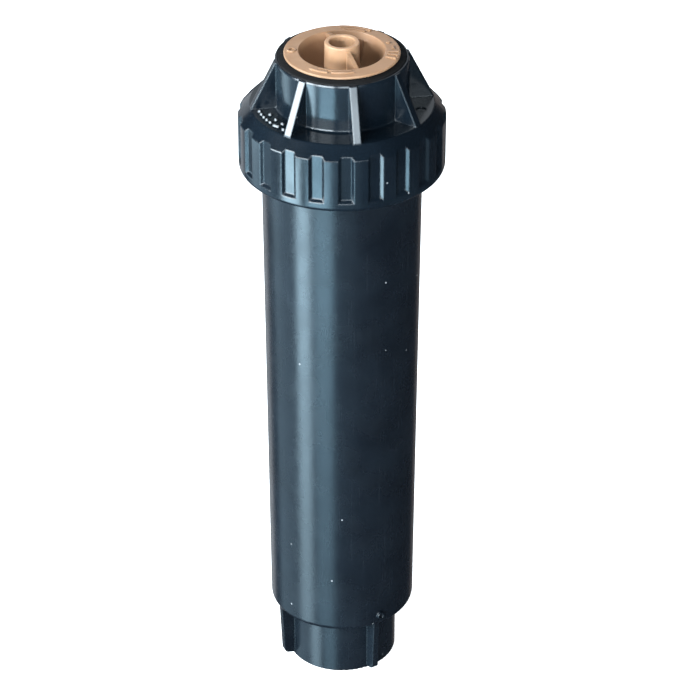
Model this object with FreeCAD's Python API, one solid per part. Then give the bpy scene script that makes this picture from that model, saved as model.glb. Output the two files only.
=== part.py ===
"""Pop-up spray head: a spring-retracted riser with an adjustable nozzle in a screw-capped case.

Millimetres. +Z is up, along the riser. The origin is the centre of the inlet's bottom face.
Azimuths are degrees from -Y towards +X, so azimuth 0 is the front and azimuth 90 is +X.
"""
import FreeCAD, Part
import math
import os

V = FreeCAD.Vector
Z_AXIS = V(0, 0, 1)
ORIGIN = V(0, 0, 0)

# Heights of the main levels
BODY_BOTTOM_Z = 14.8
FLOOR_Z = 17.3
SKIRT_BOTTOM_Z = 130.5
MOUTH_Z = 141.2
CONE_BOTTOM_Z = 142.8
LEDGE_Z = 145.6
RIM_Z = 156.6
NOZZLE_TOP_Z = 158.0
BOSS_TOP_Z = 160.0

# Case
INLET_R = 12.65
INLET_BORE_R = 9.15
INLET_PORT_R = 8.2
INLET_PITCH = 1.814
INLET_THREAD_DEPTH = 1.15
INLET_THREAD_TURNS = 8.5
BODY_BOTTOM_R = 16.7
BODY_TOP_R = 17.75
CASE_WALL = 2.3
BODY_EDGE_ROUND = 1.3
INLET_RIB_AZIMUTHS = (-66, 31, 162)
INLET_RIB_THICK = 1.5
INLET_RIB_TOP_R = 15.9
GUIDE_RIB_COUNT = 4
GUIDE_RIB_R = 13.7
GUIDE_RIB_THICK = 1.6
GATE_MARK_AZIMUTH = 32.5
GATE_MARK_Z = 17.5

# Cap
NECK_R = 14.6
NECK_BORE_R = 13.5
RIM_SEAT_R = 14.05
RIM_BEVEL_HEIGHT = 0.45
RIM_BEVEL_DEPTH = 0.22
RIM_SEAT_DEPTH = 1.3
LEDGE_R = 20.1
SKIRT_R = 22.75
CAP_BORE_R = 19.5
CAP_LEDGE_THICK = 2.0
GUSSET_COUNT = 8
GUSSET_FIRST_AZIMUTH = 9.5
GUSSET_THICK = 1.85
GUSSET_ROUND = 0.25
MARK_FACE_AZIMUTH = -34
MARK_FACE_RISE = 28
MARK_FACE_LIFT = 0.24
POCKET_COUNT = 22
POCKET_FIRST_AZIMUTH = 2.35
POCKET_DEPTH = 0.7
POCKET_FLOOR_HALF = 1.11
POCKET_FLOOR_BOTTOM_Z = 133.2
POCKET_FLARE = 1.6
EJECTOR_MARK_AZIMUTHS = (77, 122, 167)

# Cap thread: a coarse thread of two turns, cut as a ridge that is wide at its root and narrow at its tip
CAP_PITCH = 4.0
CAP_THREAD_TURNS = 2.0
CAP_THREAD_Z = 132.4
CAP_THREAD_HEIGHT = 1.35
CAP_THREAD_ROOT = 2.0
CAP_THREAD_TIP = 1.1

# Riser
STEM_R = 10.0
STEM_BORE_R = 8.4
STEM_BOTTOM_Z = 18.3
STEM_SHOULDER_Z = 135.0
STEM_TOP_Z = 141.5
SPIGOT_CORE_R = 8.75
SPIGOT_BORE_R = 7.5
SPIGOT_PITCH = 2.0
SPIGOT_TURNS = 2.2
SPIGOT_THREAD_ROOT = 1.15
SPIGOT_THREAD_TIP = 0.4
SPIGOT_THREAD_HEIGHT = 0.75
FOOT_R = 13.2
FOOT_TOP_Z = 20.6
CROWN_R = 12.3
CROWN_TEETH = 36
RATCHET_R = 14.1
RATCHET_BOTTOM_Z = 20.7
RATCHET_TOP_Z = 24.5

# Spring
SPRING_WIRE_R = 0.65
SPRING_R = 11.25
SPRING_TURNS = 12
SPRING_WIRE_SIDES = 12
WASHER_Z = 144.9
WASHER_THICK = 0.65
SEAT_Z = 145.6

# Nozzle
NOZZLE_FLANGE_R = 12.67
NOZZLE_FLANGE_BOTTOM_Z = 157.15
FLANGE_DROP = 0.28
CUP_R = 9.45
CUP_FLOOR_R = 6.6
CUP_FLOOR_Z = 151.3
NOZZLE_BOSS_R = 3.8
NOZZLE_BOSS_HOLE_R = 2.75
FIN_THICK = 0.9
LONG_FIN_AZIMUTHS = (20, 200)
LOW_FIN_AZIMUTH = 148
PRONG_COUNT = 3
PRONG_R = 5.0
PRONG_WIDTH = 1.6
DISC_Z = 143.1
DISC_TOP_Z = 145.1
COLLAR_TOP_Z = 149.2
SCREW_R = 1.25
SCREW_HEAD_R = 2.35
SCREW_HEAD_TOP_Z = 157.5
SCREW_PITCH = 0.6
SCREW_HEAD_SEAT_Z = 155.95


def corner_rounds(points):
    """Corner rounds of an outline whose points are (radius, height) or (radius, height, corner round)."""
    return [point[2] if len(point) > 2 else 0 for point in points]


def turned(points):
    """Solid of revolution about Z of an outline of (radius, height) or (radius, height, corner round)."""
    wire = rounded_wire([(point[0], 0, point[1]) for point in points], corner_rounds(points))
    return Part.Face(wire).revolve(ORIGIN, Z_AXIS, 360)


def rounded_wire(corners, rounds):
    """Closed wire through the corners, with an arc at each corner that has a round."""
    corners = [V(*c) for c in corners]
    edges = []
    ends = []
    for i, corner in enumerate(corners):
        before = (corners[i - 1] - corner).normalize()
        after = (corners[(i + 1) % len(corners)] - corner).normalize()
        if rounds[i] == 0:
            ends.append((corner, corner))
            continue
        half = before.getAngle(after) / 2
        start = corner + before * (rounds[i] / math.tan(half))
        end = corner + after * (rounds[i] / math.tan(half))
        middle_way = (before + after).normalize()
        middle = corner + middle_way * (rounds[i] / math.sin(half) - rounds[i])
        ends.append((start, end))
        edges.append(Part.Arc(start, middle, end).toShape())
    for i in range(len(corners)):
        start, end = ends[i][1], ends[(i + 1) % len(corners)][0]
        if start.distanceToPoint(end) > 1e-6:
            edges.append(Part.LineSegment(start, end).toShape())
    return Part.Wire(Part.__sortEdges__(edges))


def ring(inner, outer, bottom, top):
    """Plain tube, or a disc when inner is 0."""
    tube = Part.makeCylinder(outer, top - bottom, V(0, 0, bottom))
    if inner > 0:
        tube = tube.cut(Part.makeCylinder(inner, top - bottom, V(0, 0, bottom)))
    return tube


def at_azimuth(shape, azimuth):
    """Turns a shape built along +X so that it lies at that azimuth."""
    turned_shape = shape.copy()
    turned_shape.rotate(ORIGIN, Z_AXIS, azimuth - 90)
    return turned_shape


def plate(outline, thickness, azimuth, corner_round=0):
    """Upright plate through the axis, from (radius, height) points."""
    wire = rounded_wire([(point[0], -thickness / 2, point[1]) for point in outline], corner_rounds(outline))
    solid = Part.Face(wire).extrude(V(0, thickness, 0))
    if corner_round:
        outer = [edge for edge in solid.Edges if is_outer_edge(edge, outline)]
        solid = solid.makeFillet(corner_round, outer)
    return at_azimuth(solid, azimuth)


def is_outer_edge(edge, outline):
    """True for the two edges along the sloping side between the outline's third and fourth points."""
    low, high = outline[2], outline[3]
    ends = [(v.Point.x, v.Point.z) for v in edge.Vertexes]
    if len(ends) < 2:
        return False
    off_corner = [min(math.dist(end, low[:2]), math.dist(end, high[:2])) for end in ends]
    return max(off_corner) < 0.01 and ends[0] != ends[1]


def round_copies(shape, count, first=0):
    """Copies of a shape built along +X, evenly spaced in azimuth."""
    return [at_azimuth(shape, first + i * 360 / count) for i in range(count)]


def thread_ridge(root_r, tip_r, pitch, bottom, turns, root_width, tip_width):
    """One helical ridge of trapezoid section, right-handed, starting at +X."""
    helix = Part.makeHelix(pitch, pitch * turns, root_r)
    section = Part.makePolygon([
        V(root_r, 0, -root_width / 2),
        V(tip_r, 0, -tip_width / 2),
        V(tip_r, 0, tip_width / 2),
        V(root_r, 0, root_width / 2),
        V(root_r, 0, -root_width / 2),
    ])
    ridge = Part.Wire(helix.Edges).makePipeShell([section], True, True)
    ridge.translate(V(0, 0, bottom))
    return ridge


def body_case():
    """Tapered tube with the inlet boss below and the cap's thread round its mouth."""
    top_bore_r = BODY_TOP_R - CASE_WALL
    bottom_bore_r = BODY_BOTTOM_R - CASE_WALL
    case = turned([
        (INLET_BORE_R, 0), (INLET_R, 0, 0.3), (INLET_R, BODY_BOTTOM_Z),
        (BODY_BOTTOM_R, BODY_BOTTOM_Z, BODY_EDGE_ROUND), (BODY_TOP_R, SKIRT_BOTTOM_Z),
        (BODY_TOP_R, MOUTH_Z, 0.3), (top_bore_r, MOUTH_Z), (top_bore_r, SKIRT_BOTTOM_Z),
        (bottom_bore_r, FLOOR_Z, 0.8), (INLET_PORT_R, FLOOR_Z), (INLET_PORT_R, BODY_BOTTOM_Z),
        (INLET_BORE_R, BODY_BOTTOM_Z),
    ])
    ridge = thread_ridge(BODY_TOP_R - 0.2, BODY_TOP_R + CAP_THREAD_HEIGHT, CAP_PITCH, CAP_THREAD_Z,
                         CAP_THREAD_TURNS, CAP_THREAD_ROOT, CAP_THREAD_TIP)
    case = case.fuse(inlet_ribs() + guide_ribs() + [ridge, gate_mark()])
    groove = thread_ridge(INLET_BORE_R - 0.3, INLET_BORE_R + INLET_THREAD_DEPTH, INLET_PITCH, -INLET_PITCH,
                          INLET_THREAD_TURNS, 0.85, 0.2)
    return case.cut(groove)


def inlet_ribs():
    """Tapered ribs down the inlet boss, for turning the case on to its pipe by hand."""
    inside_r = INLET_R - 0.4
    top_z = BODY_BOTTOM_Z + 0.4
    rib = [
        (inside_r, 0.6), (INLET_RIB_TOP_R - 2.1, 0.9, 0.6), (INLET_RIB_TOP_R - 0.7, 1.2, 1.3),
        (INLET_RIB_TOP_R, top_z), (inside_r, top_z),
    ]
    return [plate(rib, INLET_RIB_THICK, azimuth) for azimuth in INLET_RIB_AZIMUTHS]


def guide_ribs():
    """Upright ribs inside the case that keep the ratchet ring from turning."""
    depth = BODY_TOP_R - 1.2 - GUIDE_RIB_R
    height = MOUTH_Z - 3 - FLOOR_Z
    corner = V(GUIDE_RIB_R, -GUIDE_RIB_THICK / 2, FLOOR_Z - 0.2)
    guide = Part.makeBox(depth, GUIDE_RIB_THICK, height, corner)
    inside = turned([
        (0, FLOOR_Z - 0.5), (BODY_BOTTOM_R - 1, FLOOR_Z - 0.5), (BODY_TOP_R - 1, SKIRT_BOTTOM_Z),
        (BODY_TOP_R - 1, MOUTH_Z), (0, MOUTH_Z),
    ])
    return [copy.common(inside) for copy in round_copies(guide, GUIDE_RIB_COUNT, 45)]


def gate_mark():
    """Small dished nub that the moulding gate leaves low on the case."""
    outward = V(1, 0, 0)
    nub = Part.makeCylinder(1.0, 1.3, V(16.0, 0, GATE_MARK_Z), outward)
    dish = Part.makeCylinder(0.5, 0.4, V(16.95, 0, GATE_MARK_Z), outward)
    return at_azimuth(nub.cut(dish), GATE_MARK_AZIMUTH)


def threaded_cap():
    """Screw-on cap: grip skirt with pockets, conical shoulder, ledge, gussets and neck."""
    under_ledge = LEDGE_Z - CAP_LEDGE_THICK
    seat_z = RIM_Z - RIM_SEAT_DEPTH
    cap = turned([
        (NECK_BORE_R, under_ledge), (CAP_BORE_R, under_ledge), (CAP_BORE_R, SKIRT_BOTTOM_Z, 0.3),
        (SKIRT_R, SKIRT_BOTTOM_Z, 0.9), (SKIRT_R, CONE_BOTTOM_Z, 0.25), (LEDGE_R, LEDGE_Z, 0.3),
        (NECK_R, LEDGE_Z, 0.5), (NECK_R, RIM_Z - RIM_BEVEL_HEIGHT, 0.1),
        (NECK_R - RIM_BEVEL_DEPTH, RIM_Z, 0.05), (RIM_SEAT_R, RIM_Z), (RIM_SEAT_R, seat_z),
        (NECK_BORE_R, seat_z),
    ])
    ridge = thread_ridge(
        CAP_BORE_R + 0.2, CAP_BORE_R - CAP_THREAD_HEIGHT, CAP_PITCH, CAP_THREAD_Z + CAP_PITCH / 2,
        CAP_THREAD_TURNS, CAP_THREAD_ROOT, CAP_THREAD_TIP,
    )
    cap = cap.fuse(gussets() + [ridge] + ledge_marks())
    pockets = round_copies(pocket_cutter(), POCKET_COUNT, POCKET_FIRST_AZIMUTH)
    ejector_mark = Part.makeCylinder(1.1, 0.25, V(17.6, 0, LEDGE_Z - 0.2))
    return cap.cut(pockets + [at_azimuth(ejector_mark, azimuth) for azimuth in EJECTOR_MARK_AZIMUTHS])


def gussets():
    """Upright triangular ribs from the ledge up to the neck's rim."""
    inside_r = NECK_R - 0.2
    outline = [
        (inside_r, LEDGE_Z - 0.4), (LEDGE_R, LEDGE_Z - 0.4), (LEDGE_R + 0.1, LEDGE_Z + 0.1),
        (NECK_R + 0.2, RIM_Z - 0.1), (inside_r, RIM_Z - 0.1),
    ]
    azimuths = [GUSSET_FIRST_AZIMUTH + i * 360 / GUSSET_COUNT for i in range(GUSSET_COUNT)]
    return [plate(outline, GUSSET_THICK, azimuth, GUSSET_ROUND) for azimuth in azimuths]


def pocket_cutter():
    """Grip pocket with sloping walls, open upwards through the conical shoulder."""
    floor_r = SKIRT_R - POCKET_DEPTH
    outlines = [pocket_outline(floor_r + spread, spread) for spread in (0, POCKET_FLARE)]
    return Part.makeLoft(outlines, True, True)


def pocket_outline(radius, spread):
    """Pocket's outline at a radius, larger than its floor by the spread at the sides and the bottom."""
    half = POCKET_FLOOR_HALF + spread
    low = POCKET_FLOOR_BOTTOM_Z - spread
    high = LEDGE_Z + 1.5
    corners = ((-half, low), (half, low), (half, high), (-half, high), (-half, low))
    return Part.makePolygon([V(radius, y, z) for y, z in corners])


def ledge_marks():
    """Two rows of plain raised studs and bars with slanted faces, which are decoration without meaning."""
    lean = math.radians(MARK_FACE_RISE)
    into = V(-math.cos(lean), 0, -math.sin(lean))
    stud = Part.makeCylinder(0.36, 0.9, V(0, 0, 0), into)
    bar = Part.makeBox(0.9, 1.5, 0.6, V(-0.9, -0.75, -0.3))
    bar.rotate(ORIGIN, V(0, 1, 0), -MARK_FACE_RISE)
    outer = [mark_at(stud, 18.75, -73 + i * 4.3) for i in range(5)] + [mark_at(stud, 18.75, -42.5)]
    inner = [mark_at(stud, 17.1, azimuth) for azimuth in (-66, -57, -49)]
    return outer + [mark_at(bar, 18.75, -49.5)] + inner


def mark_at(shape, radius, azimuth):
    """Copy of a mark on the ledge; all the marks face the same way."""
    mark = at_azimuth(shape, MARK_FACE_AZIMUTH)
    angle = math.radians(azimuth)
    mark.translate(V(radius * math.sin(angle), -radius * math.cos(angle), LEDGE_Z + MARK_FACE_LIFT))
    return mark


def cap_gasket():
    low = MOUTH_Z + 1.2
    high = LEDGE_Z - CAP_LEDGE_THICK
    return turned([(15.3, low, 0.4), (17.9, low, 0.4), (17.9, high, 0.4), (15.3, high, 0.4)])


def seal_retainer():
    """Flanged ring whose flange is clamped on the case's mouth and whose web backs the seal."""
    web_bore_r = 10.4
    sleeve_bore_r = 12.3
    sleeve_r = NECK_BORE_R - 0.08
    return turned([
        (sleeve_bore_r, MOUTH_Z), (17.4, MOUTH_Z), (17.4, MOUTH_Z + 1.2), (sleeve_r, MOUTH_Z + 1.2),
        (sleeve_r, SEAT_Z + 1.4), (web_bore_r, SEAT_Z + 1.4), (web_bore_r, SEAT_Z), (sleeve_bore_r, SEAT_Z),
    ])


def wiper_seal():
    """Rubber ring with two lips towards the riser, a groove below and a collar over the cap's rim."""
    bottom = SEAT_Z + 1.4
    outer = NECK_BORE_R - 0.08
    lip_r = STEM_R + 0.3
    collar_r = RIM_SEAT_R - 0.06
    collar_z = RIM_Z - RIM_SEAT_DEPTH + 0.05
    groove_top = bottom + 4.5
    return turned([
        (lip_r, bottom + 0.4, 0.15), (lip_r + 0.9, bottom), (lip_r + 1.2, groove_top, 0.3),
        (outer - 0.9, groove_top, 0.3), (outer - 0.7, bottom), (outer, bottom), (outer, collar_z),
        (collar_r, collar_z), (collar_r, RIM_Z + 0.1, 0.3), (12.2, RIM_Z + 0.4, 0.2),
        (lip_r + 0.9, RIM_Z - 0.5, 0.3), (lip_r, RIM_Z - 1.6, 0.2), (lip_r, RIM_Z - 3.0, 0.3),
        (lip_r + 0.7, RIM_Z - 4.2, 0.4), (lip_r + 0.7, bottom + 3.0, 0.4), (lip_r, bottom + 1.8, 0.3),
    ])


def spring_washer():
    return ring(10.7, 12.1, WASHER_Z, WASHER_Z + WASHER_THICK)


def retract_spring():
    """Coil spring from the ratchet ring up to the washer, its round wire drawn with twelve flats."""
    low = RATCHET_TOP_Z + SPRING_WIRE_R + 0.05
    height = WASHER_Z - SPRING_WIRE_R - 0.05 - low
    helix = Part.Wire(Part.makeHelix(height / SPRING_TURNS, height, SPRING_R).Edges)
    angles = [2 * math.pi * i / SPRING_WIRE_SIDES for i in range(SPRING_WIRE_SIDES + 1)]
    corners = [V(SPRING_R + SPRING_WIRE_R * math.cos(a), 0, SPRING_WIRE_R * math.sin(a)) for a in angles]
    section = Part.makePolygon(corners)
    coil = helix.makePipeShell([section], True, True)
    coil.translate(V(0, 0, low))
    return coil


def ratchet_ring():
    """Ring keyed to the case's guide ribs, with two spring fingers that click on the riser's crown."""
    bore_r = CROWN_R + 0.6
    web_z = RATCHET_TOP_Z - 1.3
    body = turned([
        (bore_r, RATCHET_BOTTOM_Z), (RATCHET_R, RATCHET_BOTTOM_Z, 0.2), (RATCHET_R, RATCHET_TOP_Z, 0.4),
        (STEM_R + 0.3, RATCHET_TOP_Z), (STEM_R + 0.3, web_z), (bore_r, web_z),
    ])
    notch_width = GUIDE_RIB_THICK + 0.5
    notch = Part.makeBox(2, notch_width, 6, V(GUIDE_RIB_R - 0.25, -notch_width / 2, RATCHET_BOTTOM_Z - 1))
    notches = round_copies(notch, GUIDE_RIB_COUNT, 45)
    slot = Part.makeBox(3, 0.5, 2.2, V(CROWN_R, -0.25, RATCHET_BOTTOM_Z - 0.1))
    slots = [at_azimuth(slot, azimuth + side) for azimuth in (90, 270) for side in (-9, 9)]
    tooth = plate([
        (CROWN_R + 0.1, RATCHET_BOTTOM_Z + 0.3), (CROWN_R + 1, RATCHET_BOTTOM_Z + 0.1),
        (CROWN_R + 1, RATCHET_BOTTOM_Z + 1.9), (CROWN_R + 0.1, RATCHET_BOTTOM_Z + 1.7),
    ], 1.0, 90)
    return body.fuse(round_copies(tooth, 2)).cut(notches + slots)


def riser_stem():
    """Tube with a toothed foot below and a threaded spigot for the nozzle on top."""
    crown_core_r = 11.5
    crown_top_z = FOOT_TOP_Z + 2.0
    stem = turned([
        (STEM_BORE_R - 1.2, STEM_BOTTOM_Z), (FOOT_R, STEM_BOTTOM_Z, 0.4), (FOOT_R, FOOT_TOP_Z, 0.4),
        (crown_core_r, FOOT_TOP_Z), (crown_core_r, crown_top_z, 0.2), (STEM_R, crown_top_z),
        (STEM_R, STEM_SHOULDER_Z, 0.2), (SPIGOT_CORE_R, STEM_SHOULDER_Z), (SPIGOT_CORE_R, STEM_TOP_Z, 0.3),
        (SPIGOT_BORE_R, STEM_TOP_Z), (SPIGOT_BORE_R, STEM_SHOULDER_Z - 1), (STEM_BORE_R, STEM_SHOULDER_Z - 3),
        (STEM_BORE_R, STEM_BOTTOM_Z + 3), (STEM_BORE_R - 1.2, STEM_BOTTOM_Z + 2),
    ])
    root_r = crown_core_r - 0.2
    tooth_corners = ((root_r, -0.85), (CROWN_R, 0.25), (CROWN_R, 0.6), (root_r, 0.85), (root_r, -0.85))
    tooth_face = Part.Face(Part.makePolygon([V(x, y, FOOT_TOP_Z - 0.1) for x, y in tooth_corners]))
    tooth = tooth_face.extrude(V(0, 0, crown_top_z - FOOT_TOP_Z))
    ridge = thread_ridge(SPIGOT_CORE_R - 0.1, SPIGOT_CORE_R + SPIGOT_THREAD_HEIGHT, SPIGOT_PITCH,
                         STEM_SHOULDER_Z + 1.3, SPIGOT_TURNS, SPIGOT_THREAD_ROOT, SPIGOT_THREAD_TIP)
    return stem.fuse(round_copies(tooth, CROWN_TEETH) + [ridge])


def filter_frame():
    """Basket: seating flange, six bars, three hoops and a closed end."""
    flange = ring(6.9, 8.9, STEM_TOP_Z, STEM_TOP_Z + 0.8)
    collar = ring(6.5, 7.3, 137.5, STEM_TOP_Z + 0.8)
    bar = plate([(4.9, 119.0), (5.7, 119.0), (7.25, 138.0), (6.5, 138.0)], 0.9, 90)
    bars = round_copies(bar, 6)
    hoop_sizes = ((6.75, 131.8), (6.25, 125.6))
    hoops = [ring(radius - 0.8, radius, height, height + 0.7) for radius, height in hoop_sizes]
    end = turned([(0, 118.0), (5.0, 118.0, 0.5), (5.75, 120.0), (0, 120.0)])
    return flange.fuse([collar, end] + bars + hoops)


def filter_mesh():
    """Fine sleeve inside the basket's bars, pierced by rows of windows."""
    top_r = 6.4
    low_r = 4.85
    sleeve = turned([(low_r - 0.3, 120.05), (low_r, 120.05), (top_r, 138.5), (top_r - 0.3, 138.5)])
    windows = []
    for row in range(8):
        window = Part.makeBox(4, 0.9, 1.3, V(4, -0.45, 121.2 + row * 2.1))
        windows += round_copies(window, 12, 15)
    return sleeve.cut(windows)


def nozzle_washer():
    low = STEM_TOP_Z + 0.8
    return turned([(7.0, low, 0.15), (9.3, low, 0.15), (9.3, DISC_Z, 0.15), (7.0, DISC_Z, 0.15)])


def nozzle_base():
    """Threaded skirt, ported disc, hub for the deflector and spigot for the arc collar."""
    skirt_bore = SPIGOT_CORE_R + 0.9
    skirt_bottom = STEM_SHOULDER_Z + 0.1
    base = turned([
        (1.4, DISC_Z), (skirt_bore, DISC_Z), (skirt_bore, skirt_bottom), (STEM_R, skirt_bottom, 0.15),
        (STEM_R, DISC_TOP_Z, 0.3), (7.5, DISC_TOP_Z), (7.5, 146.9), (6.6, 146.9), (6.6, DISC_TOP_Z),
        (4.0, DISC_TOP_Z), (4.0, 149.3), (2.5, 149.3), (2.5, DISC_TOP_Z), (1.4, DISC_TOP_Z),
    ])
    ridge = thread_ridge(
        skirt_bore + 0.1, skirt_bore - SPIGOT_THREAD_HEIGHT, SPIGOT_PITCH, STEM_SHOULDER_Z + 2.3,
        SPIGOT_TURNS, SPIGOT_THREAD_ROOT, SPIGOT_THREAD_TIP,
    )
    sector = ring(4.2, 6.4, DISC_Z - 0.5, DISC_TOP_Z + 0.5)
    spoke = Part.makeBox(8, 1.6, 4, V(0, -0.8, DISC_Z - 1))
    ports = sector.cut(round_copies(spoke, 3))
    prong = Part.makeBox(0.8, PRONG_WIDTH, 5.6, V(PRONG_R, -PRONG_WIDTH / 2, DISC_Z - 5.5))
    return base.fuse([ridge]).cut(ports).fuse(round_copies(prong, PRONG_COUNT))


def arc_collar():
    """Turning collar with a knurled grip, a pocket for the o-ring and a spiral lip on top."""
    collar = turned([
        (7.6, DISC_TOP_Z + 0.1), (9.6, DISC_TOP_Z + 0.1, 0.2), (9.6, COLLAR_TOP_Z, 0.2), (8.9, COLLAR_TOP_Z),
        (7.6, 147.6), (7.6, 146.7), (8.35, 146.7), (8.35, 145.9), (7.6, 145.9),
    ])
    grip = Part.makeCylinder(0.35, 3.2, V(9.55, 0, DISC_TOP_Z + 0.5))
    stop = Part.makeBox(2.0, 0.7, 0.5, V(7.8, -0.35, COLLAR_TOP_Z - 0.5))
    return collar.fuse(round_copies(grip, 40) + [at_azimuth(stop, 0)])


def collar_o_ring():
    return Part.makeTorus(7.95, 0.38, V(0, 0, 146.3))


def nozzle_deflector():
    """Tan top of the nozzle: flange, cup, hollow boss with its fins and the deflecting lip."""
    shank_bore_r = SCREW_R + 0.07
    head_bore_r = 2.2
    body = turned([
        (NOZZLE_BOSS_HOLE_R, BOSS_TOP_Z, 0.25), (NOZZLE_BOSS_R, BOSS_TOP_Z, 0.3),
        (NOZZLE_BOSS_R + 0.15, CUP_FLOOR_Z, 0.6), (CUP_FLOOR_R, CUP_FLOOR_Z, 1.0),
        (CUP_R, NOZZLE_TOP_Z, 0.2), (NOZZLE_FLANGE_R, NOZZLE_TOP_Z - FLANGE_DROP, 0.35),
        (NOZZLE_FLANGE_R, NOZZLE_FLANGE_BOTTOM_Z, 0.25),
        (STEM_R, NOZZLE_FLANGE_BOTTOM_Z, 0.3), (9.9, 155.4, 0.5), (8.0, 151.6, 0.8), (9.7, 150.3, 0.2),
        (9.7, 149.7), (6.4, 150.5, 0.5), (4.1, 149.4), (2.45, 149.4), (2.45, 145.3), (shank_bore_r, 145.3),
        (shank_bore_r, 155.0), (head_bore_r, 155.0), (head_bore_r, SCREW_HEAD_SEAT_Z - 0.05),
        (NOZZLE_BOSS_HOLE_R, SCREW_HEAD_SEAT_Z - 0.05),
    ])
    return body.fuse(nozzle_fins() + flange_marks())


def nozzle_fins():
    """Two fins from the boss to the cup's rim, and one whose top slopes down to the cup's wall."""
    inside_r = NOZZLE_BOSS_R - 0.4
    foot_z = CUP_FLOOR_Z - 0.4
    long_fin = [
        (inside_r, foot_z), (CUP_FLOOR_R, foot_z), (CUP_R + 0.2, NOZZLE_TOP_Z - 0.35),
        (CUP_R - 0.9, NOZZLE_TOP_Z + 0.1, 0.4), (inside_r, BOSS_TOP_Z - 0.5),
    ]
    low_fin = [
        (inside_r, foot_z), (CUP_FLOOR_R, foot_z), (8.3, BOSS_TOP_Z - 3.2), (inside_r, BOSS_TOP_Z - 0.25),
    ]
    fins = [plate(long_fin, FIN_THICK, azimuth) for azimuth in LONG_FIN_AZIMUTHS]
    return fins + [plate(low_fin, FIN_THICK, LOW_FIN_AZIMUTH)]


def flange_marks():
    """Generic raised marks: arcs at the front and back, an oval at the left and ticks at the right."""
    low = NOZZLE_TOP_Z - 0.4
    high = NOZZLE_TOP_Z + 0.17
    marks = [
        arc_bar(11.1, 0.55, -38, -16, low, high), arc_bar(10.9, 0.4, -12, 14, low, high),
        arc_bar(10.15, 0.35, -30, 12, low, high), arc_bar(11.3, 0.7, 146, 182, low, high),
        arc_bar(10.2, 0.45, 150, 178, low, high),
    ]
    oval = ring(0.6, 1.05, low, high)
    oval.translate(V(10.9, 0, 0))
    marks.append(at_azimuth(oval, -90))
    tick = Part.makeBox(2.3, 0.5, high - low, V(9.95, -0.25, low))
    marks += [at_azimuth(tick, azimuth) for azimuth in (71, 78, 85)]
    marks.append(at_azimuth(Part.makeBox(0.5, 1.7, high - low, V(10.8, -0.85, low)), 97))
    marks.append(at_azimuth(Part.makeCylinder(0.45, high - low, V(10.6, 0, low)), 110))
    return marks


def arc_bar(radius, width, start, end, low, high):
    """Raised bar that follows an arc of the flange between two azimuths."""
    band = ring(radius - width / 2, radius + width / 2, low, high)
    reach = 20
    middle = (start + end) / 2
    half = math.radians((end - start) / 2)
    ends = [V(reach * math.cos(half), side * reach * math.sin(half), low - 1) for side in (-1, 1)]
    corner = V(0, 0, low - 1)
    wedge = Part.Face(Part.makePolygon([corner] + ends + [corner])).extrude(V(0, 0, 4))
    return band.common(at_azimuth(wedge, middle))


def radius_screw():
    """Captive slotted screw with a fine thread on its lower end."""
    clip_groove_r = 0.95
    screw = turned([
        (0, 136.0), (SCREW_R - 0.3, 136.0), (SCREW_R, 136.4), (SCREW_R, 141.8), (clip_groove_r, 141.8),
        (clip_groove_r, 142.25), (SCREW_R, 142.25), (SCREW_R, SCREW_HEAD_SEAT_Z),
        (SCREW_HEAD_R, SCREW_HEAD_SEAT_Z), (SCREW_HEAD_R, SCREW_HEAD_TOP_Z, 0.35), (0, SCREW_HEAD_TOP_Z),
    ])
    slot = Part.makeBox(6, 0.7, 1, V(-3, -0.35, SCREW_HEAD_TOP_Z - 0.8))
    slot.rotate(ORIGIN, Z_AXIS, 25)
    groove = thread_ridge(SCREW_R + 0.1, SCREW_R - 0.25, SCREW_PITCH, 136.2, 8.5, 0.45, 0.1)
    return screw.cut([slot, groove])


def screw_o_ring():
    return Part.makeTorus(1.74, 0.41, V(0, 0, 155.42))


def screw_clip():
    clip = ring(1.0, 2.6, 141.85, 142.2)
    gap = Part.makeBox(4, 1.5, 1, V(0, -0.75, 141.5))
    return clip.cut(gap)


def throttle_plug():
    """Nut guided by the base's prongs, which closes the ports from below as the screw is turned."""
    bore_r = SCREW_R + 0.06
    plug = turned([
        (bore_r, 136.6), (3.4, 136.6, 0.3), (5.4, 138.6, 0.4), (5.4, 139.6, 0.3), (3.0, 139.6), (3.0, 138.6),
        (bore_r, 138.6),
    ])
    notch_width = PRONG_WIDTH + 0.3
    notch = Part.makeBox(2, notch_width, 5, V(PRONG_R - 0.15, -notch_width / 2, 136))
    ear = Part.makeBox(0.9, 0.9, 1.0, V(5.0, -0.45, 138.5))
    azimuths = [i * 360 / PRONG_COUNT + side for i in range(PRONG_COUNT) for side in (-16.5, 16.5)]
    ears = [at_azimuth(ear, azimuth) for azimuth in azimuths]
    return plug.fuse(ears).cut(round_copies(notch, PRONG_COUNT))


PARTS = (
    body_case, threaded_cap, cap_gasket, seal_retainer, wiper_seal, spring_washer, retract_spring,
    ratchet_ring, riser_stem, filter_frame, filter_mesh, nozzle_washer, nozzle_base, arc_collar,
    collar_o_ring, nozzle_deflector, radius_screw, screw_o_ring, screw_clip, throttle_plug,
)


def main():
    os.makedirs("parts", exist_ok=True)
    for make in PARTS:
        shape = make()
        summary = f"{len(shape.Solids)} solid, valid {shape.isValid()}, {shape.Volume:.1f} mm3"
        print(f"{make.__name__}: {summary}")
        shape.Solids[0].exportStep(f"parts/{make.__name__}.step")


main()
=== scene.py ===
"""Looks, light and camera for the pop-up sprinkler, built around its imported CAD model. Metres."""
import math

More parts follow.
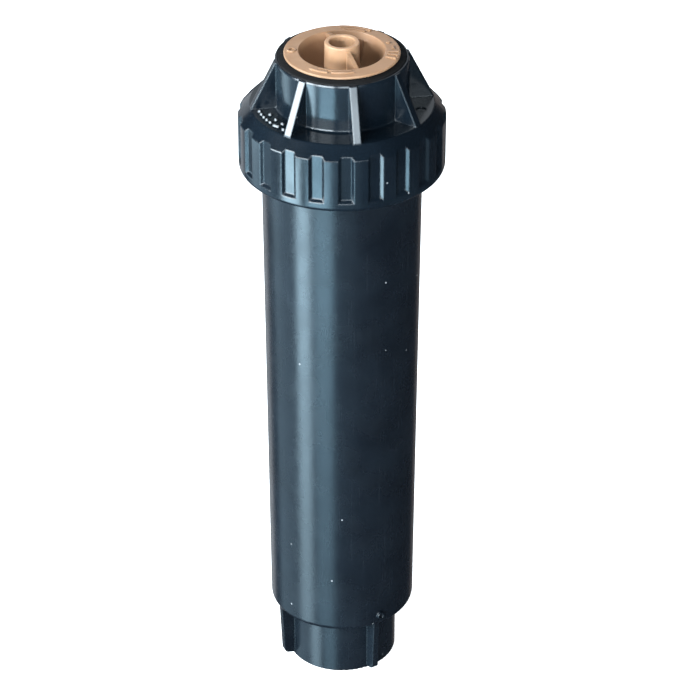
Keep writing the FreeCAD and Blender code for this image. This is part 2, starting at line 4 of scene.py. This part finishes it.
import bmesh
import bpy
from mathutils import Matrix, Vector


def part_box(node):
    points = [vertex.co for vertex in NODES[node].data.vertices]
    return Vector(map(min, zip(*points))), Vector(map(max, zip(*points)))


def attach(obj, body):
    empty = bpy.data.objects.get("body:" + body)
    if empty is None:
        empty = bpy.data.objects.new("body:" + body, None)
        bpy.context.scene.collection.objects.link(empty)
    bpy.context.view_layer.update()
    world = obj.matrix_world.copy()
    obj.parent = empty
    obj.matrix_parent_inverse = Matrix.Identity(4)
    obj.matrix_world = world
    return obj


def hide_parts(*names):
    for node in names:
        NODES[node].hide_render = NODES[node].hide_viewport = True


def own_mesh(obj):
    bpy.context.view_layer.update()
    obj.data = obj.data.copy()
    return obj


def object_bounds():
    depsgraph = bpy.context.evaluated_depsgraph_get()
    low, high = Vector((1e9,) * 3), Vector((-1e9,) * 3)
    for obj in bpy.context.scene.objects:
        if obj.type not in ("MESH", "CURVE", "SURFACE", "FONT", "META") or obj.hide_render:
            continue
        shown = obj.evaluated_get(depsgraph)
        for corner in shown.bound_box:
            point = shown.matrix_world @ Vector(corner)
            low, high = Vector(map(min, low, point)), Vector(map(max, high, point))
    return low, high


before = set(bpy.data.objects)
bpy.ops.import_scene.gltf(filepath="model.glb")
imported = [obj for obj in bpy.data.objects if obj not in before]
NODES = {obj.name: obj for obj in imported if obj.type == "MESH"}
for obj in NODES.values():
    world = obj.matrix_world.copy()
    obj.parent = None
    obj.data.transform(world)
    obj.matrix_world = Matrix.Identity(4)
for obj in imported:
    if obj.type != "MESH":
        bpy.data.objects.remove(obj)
cad_low, cad_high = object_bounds()

# Floor
FLOOR_GAP = 0.0001
FLOOR_SIZE = 12
FLOOR_DARKER = (0.86, 0.86, 0.86)
FLOOR_LIGHTER = (0.90, 0.90, 0.90)

# Camera
CAMERA_DISTANCE = 0.75335
CAMERA_ELEVATION = math.radians(31.82)
CAMERA_TARGET_Z = 0.08185
CAMERA_LENS = 170.2
CAMERA_SHIFT_X = 0.0114
CAMERA_SENSOR = 36

# Retract spring, drawn with closed ends
SPRING_R = 0.01125
SPRING_WIRE_R = 0.00062
SPRING_ACTIVE_TURNS = 10
SPRING_CLOSED_TURNS = 1.0
SPRING_CLOSED_PITCH = 2.05 * SPRING_WIRE_R
SPRING_PITCH_SWAY = 0.012
SPRING_STEPS_PER_TURN = 48
SPRING_SIDES = 12

# Nozzle: painted shade, a darker tone that is strong inside the cup and weaker on the flange, leaving the
# boss lighter. It is a guess and may stand in for shade.
BOSS_WALL_R = 0.0042
BOSS_RISE = 0.002
FLANGE_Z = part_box("nozzle_deflector")[1].z - BOSS_RISE
PAINTED_SHADE_FADE_R = 0.0006
PAINTED_SHADE_FULL_DEPTH = 0.0016
PAINTED_SHADE_START_DEPTH = 0.0003
PAINTED_SHADE_STRENGTH = 0.74
PAINTED_SHADE_SHARE_ON_FLANGE = 0.46
PAINTED_SHADE_COLOUR = (0.13, 0.070, 0.038)

# Lights: upright panels in a ring round the object. They are not plain studio light: they are shaped,
# tinted and linked to pieces, so that the black plastic mirrors chosen bands. The base colours of
# the case and the cap are kept very dark to suit them. Azimuth, heights, width, radiance and colour.
PANEL_DISTANCE = 1.2
AMBIENT = (0.040, 0.050, 0.066)

# Bright windows, above the height of the object, that the sloped ribs and the edges reflect.
WINDOWS = [
    ("window_main", -64, 0.23, 0.93, 0.70, 34.0, (0.80, 0.92, 1.0)),
    ("window_mid", -28, 0.23, 0.80, 0.60, 32.0, (0.80, 0.92, 1.0)),
    ("window_front", 10, 0.40, 0.84, 0.70, 14.0, (0.78, 0.91, 1.0)),
    ("sky_behind", 178, 0.54, 1.23, 1.00, 0.9, (0.85, 0.93, 1.0)),
]

# The nozzle's own light, warmer and mostly from the front.
NOZZLE_LIGHTS = [
    ("nozzle_key", -72, 0.75, 1.35, 0.60, 32.0, (1.0, 0.96, 0.94)),
    ("nozzle_front", -8, 0.20, 0.50, 0.60, 33.0, (1.0, 0.96, 0.92)),
    ("nozzle_top", 0, 2.00, 4.10, 1.20, 13.0, (1.0, 0.96, 0.94)),
    ("nozzle_back", 178, 0.54, 1.23, 1.00, 0.9, (0.85, 0.93, 1.0)),
]

# Panels that the upright walls mirror as bands, which fade downwards. Each is a stack of steps: foot,
# head and radiance.
LOW_PANELS = [
    ("low_main", -58, 0.46, (0.57, 0.84, 1.0), (
        (-0.50, 0.15, 11.5),
        (-0.56, -0.50, 24.0),
        (-0.63, -0.56, 17.0),
        (-0.78, -0.63, 9.4),
        (-1.28, -0.78, 4.2),
    )),
    ("low_second", -26, 0.56, (0.46, 0.79, 1.0), (
        (-0.50, 0.15, 4.5),
        (-0.56, -0.50, 23.0),
        (-0.63, -0.56, 6.0),
        (-1.28, -0.63, 2.3),
    )),
    ("low_front", 4, 0.70, (0.50, 0.80, 1.0), ((-0.50, 0.15, 0.9), (-0.63, -0.56, 0.7))),
    ("low_side", -98, 0.80, (0.55, 0.82, 1.0), ((-1.28, 0.27, 1.1),)),
    ("side_high", -112, 0.50, (0.62, 0.86, 1.0), ((-0.50, 0.20, 2.9),)),
    # Faint light from behind, which draws the outline of the body.
    ("back_left", -152, 0.55, (0.9, 0.95, 1.0), ((-1.28, 0.59, 0.75),)),
    ("back_right", 160, 0.45, (1.0, 0.88, 0.82), ((-1.28, 0.15, 0.25),)),
]


# ---------------------------------------------------------------- materials

# The Mix node's sockets for colours
MIX_FIRST = 6
MIX_SECOND = 7
MIX_RESULT = 2

ORANGE_PEEL = 0.000008
DUST_SHARE = 0.05
DUST_COLOUR = (0.30, 0.31, 0.32)


class Maker:
    """Small helper that adds and links nodes in one material."""

    def __init__(self, name):
        self.material = bpy.data.materials.new(name)
        self.material.use_nodes = True
        self.tree = self.material.node_tree
        self.shader = self.tree.nodes["Principled BSDF"]
        self.coords = self.node("ShaderNodeTexCoord").outputs["Object"]

    def node(self, kind, **settings):
        made = self.tree.nodes.new(kind)
        for key, value in settings.items():
            setattr(made, key, value)
        return made

    def link(self, source, target):
        self.tree.links.new(source, target)

    def stretched(self, scale):
        """The object's coordinates, scaled differently along each axis."""
        mapping = self.node("ShaderNodeMapping")
        self.link(self.coords, mapping.inputs["Vector"])
        mapping.inputs["Scale"].default_value = scale
        return mapping.outputs["Vector"]

    def noise(self, scale, detail, rough=0.5, vector=None):
        """Cloud noise over the object, or over the vector given."""
        texture = self.node("ShaderNodeTexNoise")
        self.link(vector or self.coords, texture.inputs["Vector"])
        texture.inputs["Scale"].default_value = scale
        texture.inputs["Detail"].default_value = detail
        texture.inputs["Roughness"].default_value = rough
        return texture.outputs["Fac"]

    def remap(self, value, low, high, to_low, to_high):
        """Takes the range from low to high, clamped, to the range from to_low to to_high."""
        ramp = self.node("ShaderNodeMapRange")
        self.link(value, ramp.inputs["Value"])
        ramp.inputs["From Min"].default_value = low
        ramp.inputs["From Max"].default_value = high
        ramp.inputs["To Min"].default_value = to_low
        ramp.inputs["To Max"].default_value = to_high
        return ramp.outputs["Result"]

    def mix(self, factor, first, second):
        """Mixes two colours, each of them a tuple or another node's output."""
        mixer = self.node("ShaderNodeMix", data_type="RGBA")
        self.link(factor, mixer.inputs["Factor"])
        for socket, colour in ((mixer.inputs[MIX_FIRST], first), (mixer.inputs[MIX_SECOND], second)):
            if hasattr(colour, "links"):
                self.link(colour, socket)
            else:
                socket.default_value = (*colour, 1)
        return mixer.outputs[MIX_RESULT]

    def math(self, operation, first, second):
        """One arithmetic step on two values, each of them a number or another node's output."""
        node = self.node("ShaderNodeMath", operation=operation)
        for socket, value in zip(node.inputs, (first, second)):
            if hasattr(value, "links"):
                self.link(value, socket)
            else:
                socket.default_value = value
        return node.outputs["Value"]

    def specks(self, scale, share, size):
        """Sparse round specks: 1 inside a speck and 0 elsewhere."""
        cells = self.node("ShaderNodeTexVoronoi")
        self.link(self.coords, cells.inputs["Vector"])
        cells.inputs["Scale"].default_value = scale
        inside = self.math("LESS_THAN", cells.outputs["Distance"], size)
        pick = self.node("ShaderNodeSeparateColor")
        self.link(cells.outputs["Color"], pick.inputs["Color"])
        chosen = self.math("LESS_THAN", pick.outputs["Red"], share)
        return self.math("MULTIPLY", inside, chosen)

    def bump(self, height, distance, edge=0.0):
        """Bump from a height; edge is the radius over which hard edges are softened."""
        relief = self.node("ShaderNodeBump")
        relief.inputs["Strength"].default_value = 1.0
        relief.inputs["Distance"].default_value = distance
        self.link(height, relief.inputs["Height"])
        if edge:
            softened = self.node("ShaderNodeBevel", samples=4)
            softened.inputs["Radius"].default_value = edge
            self.link(softened.outputs["Normal"], relief.inputs["Normal"])
        return relief.outputs["Normal"]

    def set(self, socket, value):
        """Gives a socket of the shader a number, a colour or another node's output."""
        target = self.shader.inputs[socket]
        if hasattr(value, "links"):
            self.link(value, target)
        elif isinstance(value, tuple):
            target.default_value = (*value, 1)
        else:
            target.default_value = value


def moulded_plastic(name, dark, light, rough, edge, streaks):
    """Injection-moulded plastic: clouded, with orange peel, faint draw marks and a few specks of dust."""
    make = Maker(name)
    clouds = make.noise(90, detail=5)
    colour = make.mix(make.remap(clouds, 0.35, 0.65, 0, 1), dark, light)
    marks = make.noise(1, detail=3, vector=make.stretched((2600, 2600, 45)))
    faint = make.remap(marks, 0.60, 0.78, 0, streaks)
    scuffed = tuple(min(1, 2.2 * channel + 0.012) for channel in light)
    patchy = make.math("MULTIPLY", faint, make.remap(clouds, 0.4, 0.6, 0.2, 1))
    colour = make.mix(patchy, colour, scuffed)
    dust = make.specks(420, share=DUST_SHARE, size=0.09)
    make.set("Base Color", make.mix(make.math("MULTIPLY", dust, 0.55), colour, DUST_COLOUR))
    base_rough = make.remap(make.noise(160, detail=5), 0.3, 0.7, rough - 0.03, rough + 0.04)
    rougher = make.math("ADD", base_rough, make.math("MULTIPLY", faint, 0.15))
    make.set("Roughness", make.math("ADD", rougher, make.math("MULTIPLY", dust, 0.3)))
    make.set("IOR", 1.5)
    height = make.math("ADD", make.noise(1100, detail=1.5), make.math("MULTIPLY", faint, 0.2))
    make.set("Normal", make.bump(height, ORANGE_PEEL, edge))
    return make.material


def rubber(name, dark, light):
    """Matte rubber with a fine grain and a film of dust."""
    make = Maker(name)
    film = make.remap(make.noise(260, detail=6, rough=0.65), 0.42, 0.72, 0, 0.45)
    colour = make.mix(film, dark, light)
    dust = make.specks(900, share=0.10, size=0.12)
    make.set("Base Color", make.mix(make.math("MULTIPLY", dust, 0.3), colour, (0.12, 0.11, 0.10)))
    make.set("Roughness", make.remap(make.noise(700, detail=4), 0.3, 0.7, 0.62, 0.82))
    make.set("Specular IOR Level", 0.25)
    make.set("Normal", make.bump(make.noise(4200, detail=4, rough=0.7), 0.00003, edge=0.00015))
    return make.material


def nozzle_painted_shade(make):
    """How strongly painted shade darkens the nozzle at each place: none on the boss, full deep in the cup
    and weaker on the flange.
    """
    place = make.node("ShaderNodeSeparateXYZ")
    make.link(make.coords, place.inputs["Vector"])
    squares = [make.math("MULTIPLY", place.outputs[axis], place.outputs[axis]) for axis in ("X", "Y")]
    radius = make.math("SQRT", make.math("ADD", *squares), 0)
    past_boss = make.remap(radius, BOSS_WALL_R, BOSS_WALL_R + PAINTED_SHADE_FADE_R, 0, 1)
    full_z = FLANGE_Z - PAINTED_SHADE_FULL_DEPTH
    start_z = FLANGE_Z - PAINTED_SHADE_START_DEPTH
    by_height = make.remap(place.outputs["Z"], full_z, start_z, 1, PAINTED_SHADE_SHARE_ON_FLANGE)
    return make.math("MULTIPLY", make.math("MULTIPLY", past_boss, by_height), PAINTED_SHADE_STRENGTH)


def tan_plastic(name):
    """The nozzle's satin tan plastic, with flow clouding, darker pores and painted shade in the cup and on
    the flange.
    """
    make = Maker(name)
    flow = make.noise(1, detail=5, rough=0.55, vector=make.stretched((210, 260, 120)))
    clouds = make.remap(flow, 0.35, 0.68, 0, 1)
    colour = make.mix(clouds, (0.445, 0.288, 0.176), (0.52, 0.352, 0.224))
    grime = make.remap(make.noise(520, detail=6, rough=0.7), 0.60, 0.80, 0, 0.35)
    colour = make.mix(grime, colour, (0.20, 0.115, 0.07))
    # Painted shade: a darker colour deep in the cup, weaker on the flange and none on the boss.
    colour = make.mix(nozzle_painted_shade(make), colour, PAINTED_SHADE_COLOUR)
    dust = make.specks(1500, share=0.06, size=0.12)
    make.set("Base Color", make.mix(make.math("MULTIPLY", dust, 0.5), colour, (0.10, 0.065, 0.045)))
    make.set("Roughness", make.remap(make.noise(340, detail=5), 0.3, 0.7, 0.30, 0.46))
    make.set("IOR", 1.49)
    make.set("Subsurface Weight", 0.06)
    make.set("Subsurface Scale", 0.0008)
    make.shader.inputs["Subsurface Radius"].default_value = (1.0, 0.45, 0.2)
    make.set("Normal", make.bump(make.noise(2600, detail=4, rough=0.6), 0.000014, edge=0.00012))
    return make.material


def steel(name, rough, lines):
    """Drawn or turned steel. Its fine marks are stretched where the scales in lines differ."""
    make = Maker(name)
    brushed = make.noise(1, detail=4, rough=0.6, vector=make.stretched(lines))
    shine = make.remap(brushed, 0.3, 0.7, 0, 1)
    make.set("Base Color", make.mix(shine, (0.42, 0.41, 0.39), (0.66, 0.65, 0.62)))
    make.set("Metallic", 1.0)
    make.set("Roughness", make.remap(brushed, 0.3, 0.7, rough - 0.06, rough + 0.1))
    make.set("Normal", make.bump(brushed, 0.000008, edge=0.00006))
    return make.material


def woven_mesh(name):
    """Dark nylon gauze: a fine square weave."""
    make = Maker(name)
    weave = make.node("ShaderNodeTexChecker")
    make.link(make.coords, weave.inputs["Vector"])
    weave.inputs["Scale"].default_value = 5200
    thread = make.noise(3000, detail=3)
    raised = make.math("MULTIPLY", weave.outputs["Fac"], thread)
    make.set("Base Color", make.mix(raised, (0.03, 0.03, 0.033), (0.11, 0.11, 0.12)))
    make.set("Roughness", make.remap(thread, 0.3, 0.7, 0.5, 0.7))
    make.set("Normal", make.bump(weave.outputs["Fac"], 0.00005))
    return make.material


# Moulded plastics: name, dark and light colour, roughness, edge softening and strength of the draw marks
PLASTICS = {
    "case": ("case_black", (0.0022, 0.0038, 0.0062), (0.0038, 0.0062, 0.0094), 0.26, 0.0004, 0.2),
    "cap": ("cap_black", (0.002, 0.004, 0.0065), (0.0036, 0.0066, 0.010), 0.19, 0.0004, 0.15),
    "inner": ("inner_black", (0.018, 0.018, 0.020), (0.030, 0.030, 0.033), 0.46, 0.00012, 0.2),
    "riser": ("riser_black", (0.012, 0.013, 0.015), (0.022, 0.023, 0.026), 0.24, 0.0002, 0.5),
    "collar": ("collar_black", (0.022, 0.022, 0.024), (0.038, 0.038, 0.040), 0.42, 0.0001, 0.2),
    "acetal": ("acetal_natural", (0.62, 0.61, 0.57), (0.72, 0.71, 0.67), 0.38, 0.00012, 0.1),
}

MATERIALS = {key: moulded_plastic(*settings) for key, settings in PLASTICS.items()}
MATERIALS["rubber"] = rubber("seal_rubber", (0.003, 0.0027, 0.003), (0.008, 0.0072, 0.0072))
MATERIALS["tan"] = tan_plastic("nozzle_tan")
MATERIALS["spring"] = steel("spring_steel", 0.26, (900, 900, 900))
MATERIALS["screw"] = steel("screw_steel", 0.30, (1500, 200, 4000))
MATERIALS["mesh"] = woven_mesh("filter_nylon")

NODE_MATERIALS = {
    "body_case": "case",
    "threaded_cap": "cap",
    "cap_gasket": "rubber",
    "seal_retainer": "inner",
    "wiper_seal": "rubber",
    "spring_washer": "acetal",
    "retract_spring": "spring",
    "ratchet_ring": "inner",
    "riser_stem": "riser",
    "filter_frame": "inner",
    "filter_mesh": "mesh",
    "nozzle_washer": "rubber",
    "nozzle_base": "inner",
    "arc_collar": "collar",
    "collar_o_ring": "rubber",
    "nozzle_deflector": "tan",
    "radius_screw": "screw",
    "screw_o_ring": "rubber",
    "screw_clip": "screw",
    "throttle_plug": "acetal",
}


def dress_nodes():
    """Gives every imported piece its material."""
    for name, key in NODE_MATERIALS.items():
        mesh = NODES[name].data
        mesh.materials.clear()
        mesh.materials.append(MATERIALS[key])


# ---------------------------------------------------------------- pieces made here

def spring_rise(turn, turns, height):
    """Height of the wire's centre above its start after so many turns."""
    closed_rise = SPRING_CLOSED_PITCH * SPRING_CLOSED_TURNS
    if turn < SPRING_CLOSED_TURNS:
        return closed_rise * turn / SPRING_CLOSED_TURNS
    if turn > turns - SPRING_CLOSED_TURNS:
        left = (turns - turn) / SPRING_CLOSED_TURNS
        return height - closed_rise * left
    share = (turn - SPRING_CLOSED_TURNS) / SPRING_ACTIVE_TURNS
    eased = share + SPRING_PITCH_SWAY * math.sin(2 * math.pi * share) * (1 - share) * share
    return closed_rise + eased * (height - 2 * closed_rise)


def wire_loop(mesh, turn, centre_z):
    """The ring of vertices round the wire's centre at one place along the coil."""
    angle = 2 * math.pi * turn
    outward = Vector((math.cos(angle), math.sin(angle), 0))
    centre = outward * SPRING_R + Vector((0, 0, centre_z))
    loop = []
    for side in range(SPRING_SIDES):
        around = 2 * math.pi * side / SPRING_SIDES
        across = outward * (SPRING_WIRE_R * math.cos(around))
        upward = Vector((0, 0, SPRING_WIRE_R * math.sin(around)))
        loop.append(mesh.verts.new(centre + across + upward))
    return loop


def coil_mesh(low_z, high_z):
    """The wire of the spring as a closed tube, its centre running from low_z to high_z."""
    turns = SPRING_ACTIVE_TURNS + 2 * SPRING_CLOSED_TURNS
    steps = int(turns * SPRING_STEPS_PER_TURN)
    mesh = bmesh.new()
    rings = []
    for step in range(steps + 1):
        turn = turns * step / steps
        rings.append(wire_loop(mesh, turn, low_z + spring_rise(turn, turns, high_z - low_z)))
    for first, second in zip(rings, rings[1:]):
        for side in range(SPRING_SIDES):
            following = (side + 1) % SPRING_SIDES
            mesh.faces.new((first[side], first[following], second[following], second[side]))
    mesh.faces.new(rings[0][::-1])
    mesh.faces.new(rings[-1])
    bmesh.ops.recalc_face_normals(mesh, faces=mesh.faces)
    for face in mesh.faces:
        face.smooth = len(face.verts) == 4
    data = bpy.data.meshes.new("coil_spring")
    mesh.to_mesh(data)
    mesh.free()
    return data


def build_spring():
    """Coil spring with a closed, ground coil at each end, between the ratchet ring and the washer."""
    low_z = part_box("ratchet_ring")[1].z + SPRING_WIRE_R
    high_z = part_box("spring_washer")[0].z - SPRING_WIRE_R
    data = coil_mesh(low_z, high_z)
    data.materials.append(MATERIALS["spring"])
    spring = bpy.data.objects.new("coil_spring", data)
    bpy.context.scene.collection.objects.link(spring)
    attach(spring, "seal_pack")
    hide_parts("retract_spring")
    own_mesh(spring)


# ---------------------------------------------------------------- floor, light and camera

def build_floor():
    """Pale floor that glows white and stays out of reflections."""
    bpy.ops.mesh.primitive_plane_add(size=FLOOR_SIZE, location=(0, 0, cad_low.z - FLOOR_GAP))
    floor = bpy.context.object
    floor.name = "floor"
    make = Maker("floor_pale")
    clouds = make.remap(make.noise(6, detail=3), 0.3, 0.7, 0, 1)
    make.set("Base Color", make.mix(clouds, FLOOR_DARKER, FLOOR_LIGHTER))
    make.set("Roughness", 0.9)
    make.set("Emission Color", (1.0, 1.0, 1.0))
    make.set("Emission Strength", 1.0)
    floor.data.materials.append(make.material)
    floor.visible_glossy = False
    return floor


def build_world():
    """White to the camera and a dim blue for everything else."""
    world = bpy.data.worlds.new("studio")
    bpy.context.scene.world = world
    world.use_nodes = True
    tree = world.node_tree
    background = tree.nodes["Background"]
    path = tree.nodes.new("ShaderNodeLightPath")
    mixer = tree.nodes.new("ShaderNodeMix")
    mixer.data_type = "RGBA"
    mixer.inputs[MIX_FIRST].default_value = (*AMBIENT, 1)
    mixer.inputs[MIX_SECOND].default_value = (1.0, 1.0, 1.0, 1)
    tree.links.new(path.outputs["Is Camera Ray"], mixer.inputs["Factor"])
    tree.links.new(mixer.outputs[MIX_RESULT], background.inputs["Color"])
    background.inputs["Strength"].default_value = 1.0


def soft_light(name, azimuth, foot, head, width, radiance, colour, receivers):
    """Upright soft panel round the object, for some of the pieces only.

    The azimuth runs from the front towards +X, and foot and head are heights.
    """
    light = bpy.data.lights.new(name, "AREA")
    light.shape = "RECTANGLE"
    light.size = width
    light.size_y = head - foot
    light.energy = radiance * width * (head - foot) * math.pi
    light.color = colour
    panel = bpy.data.objects.new(name, light)
    angle = math.radians(azimuth)
    outward = Vector((math.sin(angle), -math.cos(angle), 0))
    panel.location = outward * PANEL_DISTANCE + Vector((0, 0, (foot + head) / 2))
    panel.rotation_euler = (-outward).to_track_quat("-Z", "Y").to_euler()
    panel.visible_camera = False
    panel.light_linking.receiver_collection = receivers
    bpy.context.scene.collection.objects.link(panel)


def receiver_group(name, objects, state):
    """The objects that a light is for (INCLUDE) or is kept off (EXCLUDE)."""
    group = bpy.data.collections.new(name)
    for item in objects:
        group.objects.link(item)
    for entry in group.collection_objects:
        entry.light_linking.link_state = state
    return group


def build_lights(floor):
    """The windows, the nozzle's own lights and the low panels, each kept to the pieces it is for."""
    nozzle = NODES["nozzle_deflector"]
    all_but_nozzle = receiver_group("all_but_nozzle", [nozzle], "EXCLUDE")
    all_but_floor = receiver_group("all_but_floor", [floor], "EXCLUDE")
    only_nozzle = receiver_group("only_nozzle", [nozzle], "INCLUDE")
    for settings in WINDOWS:
        soft_light(*settings, all_but_nozzle)
    for settings in NOZZLE_LIGHTS:
        soft_light(*settings, only_nozzle)
    for name, azimuth, width, colour, steps in LOW_PANELS:
        for number, (foot, head, radiance) in enumerate(steps):
            soft_light(f"{name}_{number}", azimuth, foot, head, width, radiance, colour, all_but_floor)


def build_camera():
    """Long lens that looks down on the object from the front."""
    data = bpy.data.cameras.new("camera")
    data.sensor_width = CAMERA_SENSOR
    data.lens = CAMERA_LENS
    data.shift_x = CAMERA_SHIFT_X
    camera = bpy.data.objects.new("camera", data)
    camera.location = (
        0,
        -CAMERA_DISTANCE * math.cos(CAMERA_ELEVATION),
        CAMERA_TARGET_Z + CAMERA_DISTANCE * math.sin(CAMERA_ELEVATION),
    )
    camera.rotation_euler = (math.pi / 2 - CAMERA_ELEVATION, 0, 0)
    bpy.context.scene.collection.objects.link(camera)
    bpy.context.scene.camera = camera


dress_nodes()
build_spring()
studio_floor = build_floor()
build_world()
build_lights(studio_floor)
build_camera()
bpy.context.scene.view_settings.view_transform = "Standard"
